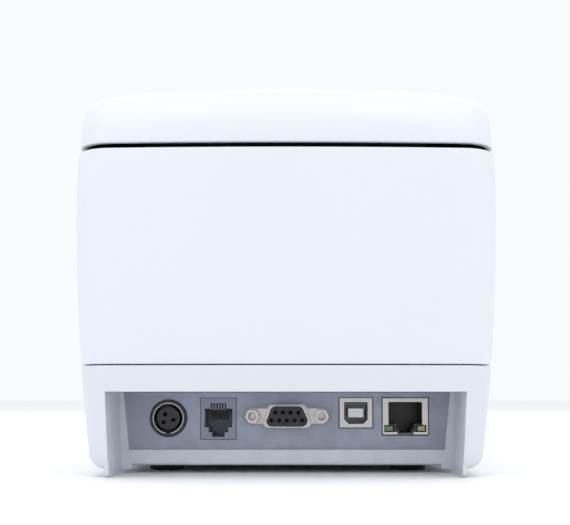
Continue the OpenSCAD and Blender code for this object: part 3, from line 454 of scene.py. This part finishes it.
def finish(name, colour, rough, metal=0.0, vary=0.04, grain=(900, 0.15), fine=None, stretch=(1, 1, 1),
           rough_vary=0.06, wear=0.0, grime=0.0, coat=0.0, anisotropy=0.0, edge=0.0, second=None):
    """Surface with slow colour drift, a grain that drives bump and roughness, worn edges, and concave hollows
    darkened in patches, which is painted shade with some dirt.
    second = (axis, threshold, colour) paints what lies beyond a place along an axis."""
    m, t, shader = tree(name)
    coords = add(t, "ShaderNodeTexCoord").outputs["Object"]
    slow = remap(t, noise(t, coords, 14, 3), 0, 1)
    colours = mix(t, slow, shade(colour, 1 - vary), shade(colour, 1 + vary))
    if second:
        axis, place, other, above = second
        xyz = add(t, "ShaderNodeSeparateXYZ", [("Vector", coords)])
        beyond = add(t, "ShaderNodeMath", [(0, xyz.outputs[axis])],
                     operation="GREATER_THAN" if above else "LESS_THAN")
        beyond.inputs[1].default_value = place
        colours = mix(t, beyond.outputs[0], colours, other)
    if wear or grime:
        point = add(t, "ShaderNodeNewGeometry").outputs["Pointiness"]
        blotch = remap(t, noise(t, coords, 160, 4, 0.65), 0, 1, 0.42, 0.62)
        if wear:
            edge_mask = add(t, "ShaderNodeMath", [(0, remap(t, point, 0, wear, 0.52, 0.6)), (1, blotch)],
                            operation="MULTIPLY").outputs[0]
            colours = mix(t, edge_mask, colours, shade(colour, 1.35))
        # Painted shade with dirt: concave hollows (low pointiness) darkened to 45 % of the colour, in noise patches.
        if grime:
            low = add(t, "ShaderNodeMath", [(0, remap(t, point, grime, 0, 0.40, 0.49)), (1, blotch)],
                      operation="MULTIPLY").outputs[0]
            colours = mix(t, low, colours, shade(colour, 0.45))
    t.links.new(colours, shader.inputs["Base Color"])
    scaled = add(t, "ShaderNodeMapping", [("Vector", coords)], Scale=stretch).outputs[0]
    texture = noise(t, scaled, grain[0], 3, 0.6)
    handled = noise(t, coords, 55, 5, 0.6)
    total = add(t, "ShaderNodeMath", [(0, texture), (1, handled)], operation="ADD").outputs[0]
    t.links.new(remap(t, total, max(0.02, rough - rough_vary), rough + rough_vary, 0.7, 1.3),
                shader.inputs["Roughness"])
    bump = add(t, "ShaderNodeBump", [("Height", texture)], Strength=grain[1], Distance=0.00006)
    if edge:
        t.links.new(add(t, "ShaderNodeBevel", Radius=edge, samples=4).outputs[0], bump.inputs["Normal"])
    normal = bump.outputs[0]
    if fine:
        second_bump = add(t, "ShaderNodeBump", [("Height", noise(t, scaled, fine[0], 2)), ("Normal", normal)],
                          Strength=fine[1], Distance=0.00012)
        normal = second_bump.outputs[0]
    t.links.new(normal, shader.inputs["Normal"])
    shader.inputs["Metallic"].default_value = metal
    shader.inputs["Coat Weight"].default_value = coat
    shader.inputs["Coat Roughness"].default_value = 0.12
    shader.inputs["Anisotropic"].default_value = anisotropy
    return m


def plastic(name, colour, rough=0.42, **more):
    """Spark-eroded moulded plastic: a fine even texture, faint orange peel, concave corners a little darkened with
    painted shade and dirt.
    """
    settings = dict(vary=0.008, grain=(1700, 0.30), fine=(260, 0.05), rough_vary=0.05, grime=0.22, edge=0.0004)
    return finish(name, colour, rough, **{**settings, **more})


WHITE = (0.735, 0.75, 0.80)
# The hollow darkening set per finish is painted shade with dirt in concave corners.
M = {
    "case_plastic": plastic("case_plastic", WHITE),
    # The base's plastic is the case white made about 6 % darker: painted shade for the lower body, further from the
    # overhead light.
    "base_plastic": plastic("base_plastic", (0.69, 0.705, 0.765), 0.45),
    # Near-black painted shade laid on the white shells' inner faces, so the inside seen through the gaps reads dark.
    "painted_shade_lining": plastic("painted_shade_lining", (0.03, 0.03, 0.033), 0.5, vary=0.1, grime=0),
    "dark_plastic": plastic("dark_plastic", (0.018, 0.018, 0.02), 0.5, vary=0.15, grime=0, wear=0.3),
    "foot_rubber": finish("foot_rubber", (0.022, 0.022, 0.023), 0.75, vary=0.25, grain=(700, 0.5), wear=0.5),
    "zinc_screw": finish("zinc_screw", (0.50, 0.50, 0.48), 0.3, 1.0, 0.08, (900, 0.12), grime=0.6),
    "panel_paint": finish("panel_paint", (0.32, 0.345, 0.42), 0.5, 0.0, 0.03, (1500, 0.35), fine=(420, 0.10),
                          wear=0.5, grime=0.35, edge=0.0002),
    "component_black": finish("component_black", (0.02, 0.02, 0.021), 0.5, 0.0, 0.2, (1200, 0.3),
                              second=("Y", 0.0228, (0.5, 0.5, 0.52), True)),
    "socket_black": plastic("socket_black", (0.012, 0.012, 0.013), 0.36, vary=0.2, grime=0, wear=0.6,
                            edge=0.00012),
    "nickel": finish("nickel", (0.47, 0.455, 0.44), 0.27, 1.0, 0.05, (500, 0.10), stretch=(1, 8, 1),
                     rough_vary=0.08, grime=0.5, anisotropy=0.25, edge=0.0001),
    "jack_grey": plastic("jack_grey", (0.25, 0.27, 0.33), 0.45, vary=0.03, grime=0.4, wear=0.2, edge=0.0002),
    "contact_gold": finish("contact_gold", (0.42, 0.36, 0.27), 0.3, 1.0, 0.06, (900, 0.08), grime=0.4),
    "tongue_white": plastic("tongue_white", (0.80, 0.81, 0.82), 0.4, vary=0.03, edge=0.0001),
    "lamp_green": finish("lamp_green", (0.09, 0.24, 0.07), 0.18, 0.0, 0.06, (300, 0.05), coat=0.6,
                         second=("X", LAN_X * MM, (0.36, 0.36, 0.08), False)),
    "frame_steel": finish("frame_steel", (0.55, 0.56, 0.57), 0.38, 1.0, 0.10, (60, 0.25), fine=(900, 0.05),
                          rough_vary=0.12, grime=0.5, wear=0.3),
    "blade_steel": finish("blade_steel", (0.62, 0.62, 0.63), 0.22, 1.0, 0.04, (700, 0.22), stretch=(1, 14, 1),
                          rough_vary=0.08, anisotropy=0.5),
    "motor_can": finish("motor_can", (0.42, 0.42, 0.43), 0.33, 1.0, 0.06, (600, 0.15), stretch=(10, 1, 1),
                        grime=0.5, anisotropy=0.3),
    "spring_steel": finish("spring_steel", (0.50, 0.50, 0.52), 0.28, 1.0, 0.08, (1200, 0.1)),
    "ribbon_film": finish("ribbon_film", (0.60, 0.58, 0.47), 0.3, 0.0, 0.04, (1500, 0.12), stretch=(9, 1, 1),
                          coat=0.3),
    "panel_grey": plastic("panel_grey", (0.24, 0.26, 0.31), 0.48, vary=0.02, wear=0.15),
    "lens_clear": finish("lens_clear", (0.55, 0.64, 0.58), 0.14, 0.0, 0.05, (600, 0.05), coat=0.8),
    "button_grey": plastic("button_grey", (0.075, 0.082, 0.10), 0.42, vary=0.05, wear=0.3, grime=0.3),
    "platen_rubber": finish("platen_rubber", (0.018, 0.018, 0.019), 0.55, 0.0, 0.12, (900, 0.35),
                            stretch=(0.15, 2, 2)),
    "gear_nylon": plastic("gear_nylon", (0.66, 0.64, 0.56), 0.38, vary=0.03, grime=0.5, edge=0.0001),
    "pinion_brass": finish("pinion_brass", (0.66, 0.46, 0.17), 0.27, 1.0, 0.06, (700, 0.15), stretch=(6, 1, 1),
                           grime=0.5),
    "head_aluminium": finish("head_aluminium", (0.68, 0.68, 0.69), 0.34, 1.0, 0.04, (800, 0.2),
                             stretch=(1, 10, 10), anisotropy=0.4),
    "head_ceramic": finish("head_ceramic", (0.36, 0.25, 0.16), 0.16, 0.0, 0.05, (500, 0.05), coat=0.8),
    "cutter_steel": finish("cutter_steel", (0.52, 0.52, 0.53), 0.26, 1.0, 0.05, (800, 0.15),
                           stretch=(8, 1, 1), grime=0.4),
    "wheel_blue": plastic("wheel_blue", (0.02, 0.12, 0.42), 0.38, vary=0.05, wear=0.2, grime=0.3),
}


def board_material():
    """Solder mask over copper tracks: lighter lines on a square grid, with plated pads."""
    m, t, shader = tree("board_green")
    coords = add(t, "ShaderNodeTexCoord").outputs["Object"]
    bent = add(t, "ShaderNodeVectorMath", [(0, coords)], operation="SNAP")
    bent.inputs[1].default_value = (0.0016, 0.0016, 0.0016)
    cell = noise(t, bent.outputs[0], 420, 0)
    brick = add(t, "ShaderNodeTexBrick", [("Vector", coords)], Scale=130.0)
    brick.inputs["Mortar Size"].default_value = 0.035
    tracks = add(t, "ShaderNodeMath", [(0, brick.outputs["Fac"]), (1, remap(t, cell, 0, 1, 0.42, 0.5))],
                 operation="MULTIPLY").outputs[0]
    base_colour = mix(t, remap(t, noise(t, coords, 30, 3), 0, 1), (0.008, 0.085, 0.035), (0.012, 0.11, 0.05))
    colours = mix(t, tracks, base_colour, (0.03, 0.22, 0.09))
    dots = add(t, "ShaderNodeTexVoronoi", [("Vector", coords)], Scale=240.0).outputs["Distance"]
    pads = add(t, "ShaderNodeMath", [(0, remap(t, dots, 1, 0, 0.16, 0.2)), (1, remap(t, cell, 1, 0, 0.4, 0.44))],
               operation="MULTIPLY").outputs[0]
    t.links.new(mix(t, pads, colours, (0.6, 0.58, 0.5)), shader.inputs["Base Color"])
    t.links.new(remap(t, noise(t, coords, 300, 2), 0.22, 0.34), shader.inputs["Roughness"])
    bump = add(t, "ShaderNodeBump", [("Height", tracks)], Strength=0.3, Distance=0.00004)
    t.links.new(bump.outputs[0], shader.inputs["Normal"])
    shader.inputs["Coat Weight"].default_value = 0.4
    return m


M["board_green"] = board_material()

# Each shell takes its plastic; the marked inner faces take the near-black painted shade.
for piece in (lid, front, upper, base):
    painted_shade_lining = len(piece.data.materials) > 1
    indices = [f.material_index for f in piece.data.polygons]
    piece.data.materials.clear()
    piece.data.materials.append(M[piece["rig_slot"]])
    if painted_shade_lining:
        piece.data.materials.append(M["painted_shade_lining"])
        piece.data.polygons.foreach_set("material_index", indices)
for piece in list(bpy.data.objects):
    if "spring" in piece.name and "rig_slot" in piece:
        piece.data.materials.append(M["spring_steel"])


# ---------------------------------------------------------------- CAD nodes: welded, edges eased, shaded smooth

def shading_group():
    """Joins the triangles' shared corners, drops imported normals and shades smooth up to 34 degrees."""
    g = bpy.data.node_groups.new("weld_and_shade", "GeometryNodeTree")
    g.interface.new_socket("Geometry", in_out="INPUT", socket_type="NodeSocketGeometry")
    g.interface.new_socket("Geometry", in_out="OUTPUT", socket_type="NodeSocketGeometry")
    source, sink = g.nodes.new("NodeGroupInput"), g.nodes.new("NodeGroupOutput")
    drop = g.nodes.new("GeometryNodeRemoveAttribute")
    drop.inputs["Name"].default_value = "custom_normal"
    weld = g.nodes.new("GeometryNodeMergeByDistance")
    weld.inputs["Distance"].default_value = 2e-6
    faces = g.nodes.new("GeometryNodeSetShadeSmooth")
    faces.domain = "FACE"
    edges = g.nodes.new("GeometryNodeSetShadeSmooth")
    edges.domain = "EDGE"
    angle = g.nodes.new("GeometryNodeInputMeshEdgeAngle")
    gentle = g.nodes.new("FunctionNodeCompare")
    gentle.data_type, gentle.operation = "FLOAT", "LESS_THAN"
    gentle.inputs[1].default_value = math.radians(34)
    g.links.new(angle.outputs["Unsigned Angle"], gentle.inputs[0])
    g.links.new(gentle.outputs[0], edges.inputs["Shade Smooth"])
    chain = [source, drop, weld, faces, edges, sink]
    for a, b in zip(chain[:-1], chain[1:]):
        g.links.new(a.outputs[0], b.inputs[0])
    return g


SHADING = shading_group()
EDGE_MM = {"interface_panel": 0.25, "usb_port_shell": 0.12, "lan_port_shell": 0.12, "serial_port_shell": 0.1,
           "drawer_jack": 0.2, "power_jack": 0.12, "power_jack_shield": 0.06, "usb_port_tongue": 0.15,
           "lan_port_insert": 0.1, "serial_port_insulator": 0.08, "serial_jackscrews": 0.15,
           "lan_port_lamps": 0.1, "drawer_jack_contacts": 0.05, "rubber_feet": 0.3, "chassis": 0.3,
           "lid_frame": 0.3, "control_panel": 0.4, "feed_button": 0.5, "release_button": 0.5,
           "power_switch_body": 0.3, "power_rocker": 0.4, "platen_gear": 0.05, "idler_gear": 0.05,
           "motor_pinion": 0.04, "cutter_pinion": 0.04, "cutter_shaft": 0.04, "tear_bar": 0.05,
           "moving_blade": 0.04, "fixed_blade": 0.06, "head_ribbon": 0.04, "status_lenses": 0.25}
slot_of = {s["node"]: s["material_slot"] for s in frame["record"]["subparts"]}
for name, node in nodes.items():
    node.data.materials.clear()
    node.data.materials.append(M[slot_of[name]])
    if node.hide_render:
        continue
    node.modifiers.new("weld_and_shade", "NODES").node_group = SHADING
    flat = node.modifiers.new("flat_faces", "DECIMATE")
    flat.decimate_type, flat.angle_limit = "DISSOLVE", math.radians(0.6)
    ease = node.modifiers.new("eased_edges", "BEVEL")
    ease.width, ease.segments = EDGE_MM.get(name, 0.12) * MM, 2
    ease.limit_method, ease.angle_limit = "ANGLE", math.radians(34)
    ease.harden_normals = True

# ---------------------------------------------------------------- studio

scene = bpy.context.scene
scene.view_settings.view_transform = "Standard"
scene.view_settings.look = "None"

FLOOR_RADII, count = (0.4, 1.2, 4.0, 12.0, 40.0), 96
points = [(r * math.cos(2 * math.pi * k / count), r * math.sin(2 * math.pi * k / count), 0)
          for r in FLOOR_RADII for k in range(count)] + [(0, 0, 0)]
faces = [[j * count + k, j * count + (k + 1) % count, (j + 1) * count + (k + 1) % count, (j + 1) * count + k]
         for j in range(len(FLOOR_RADII) - 1) for k in range(count)]
faces += [[len(points) - 1, k, (k + 1) % count] for k in range(count)]
studio = make("studio_floor", np.array(points) / MM, faces)
b = bmesh.new()
b.from_mesh(studio.data)
if sum(f.normal.z for f in b.faces) < 0:
    bmesh.ops.reverse_faces(b, faces=b.faces)
b.to_mesh(studio.data)
b.free()
studio.data.polygons.foreach_set("use_smooth", [True] * len(studio.data.polygons))
studio.data.materials.append(finish("studio_paper", (0.93, 0.935, 0.94), 0.85, vary=0.004, grain=(300, 0.02)))

world = bpy.data.worlds.new("studio_air")
scene.world = world
world.use_nodes = True
world.node_tree.nodes["Background"].inputs[0].default_value = (0.96, 0.975, 1.0, 1)
world.node_tree.nodes["Background"].inputs[1].default_value = 0.985


def softbox(name, place, target, width, height, power, colour=(1, 1, 1)):
    light = bpy.data.lights.new(name, "AREA")
    light.shape, light.size, light.size_y, light.energy, light.color = "RECTANGLE", width, height, power, colour
    o = bpy.data.objects.new(name, light)
    scene.collection.objects.link(o)
    o.location = place
    o.rotation_euler = (Vector(target) - Vector(place)).to_track_quat("-Z", "Y").to_euler()
    return o


softbox("overhead", (0.0, 0.25, 1.7), (0, 0, 0.05), 1.8, 1.8, 9)
softbox("left_box", (1.3, 0.9, 0.75), (0, 0.05, 0.07), 0.9, 1.1, 2.0, (0.97, 0.98, 1.0))
softbox("right_box", (-1.3, 0.9, 0.75), (0, 0.05, 0.07), 0.9, 1.1, 2.0, (0.97, 0.98, 1.0))
softbox("front_box", (0.0, -1.5, 0.9), (0, 0, 0.08), 1.6, 1.0, 3)

# The camera stands behind the printer, low, turned a little up to take in its top
lens = bpy.data.cameras.new("camera")
camera = bpy.data.objects.new("camera", lens)
scene.collection.objects.link(camera)
camera.location = (-0.0057, 0.095 + 0.356, 0.0263)
camera.rotation_euler = (math.radians(90 + 5.1), 0, math.radians(180))
lens.lens, lens.sensor_width, lens.clip_start = 67.2, 36.0, 0.01
lens.shift_x, lens.shift_y = -0.031, 0.0746
scene.camera = camera
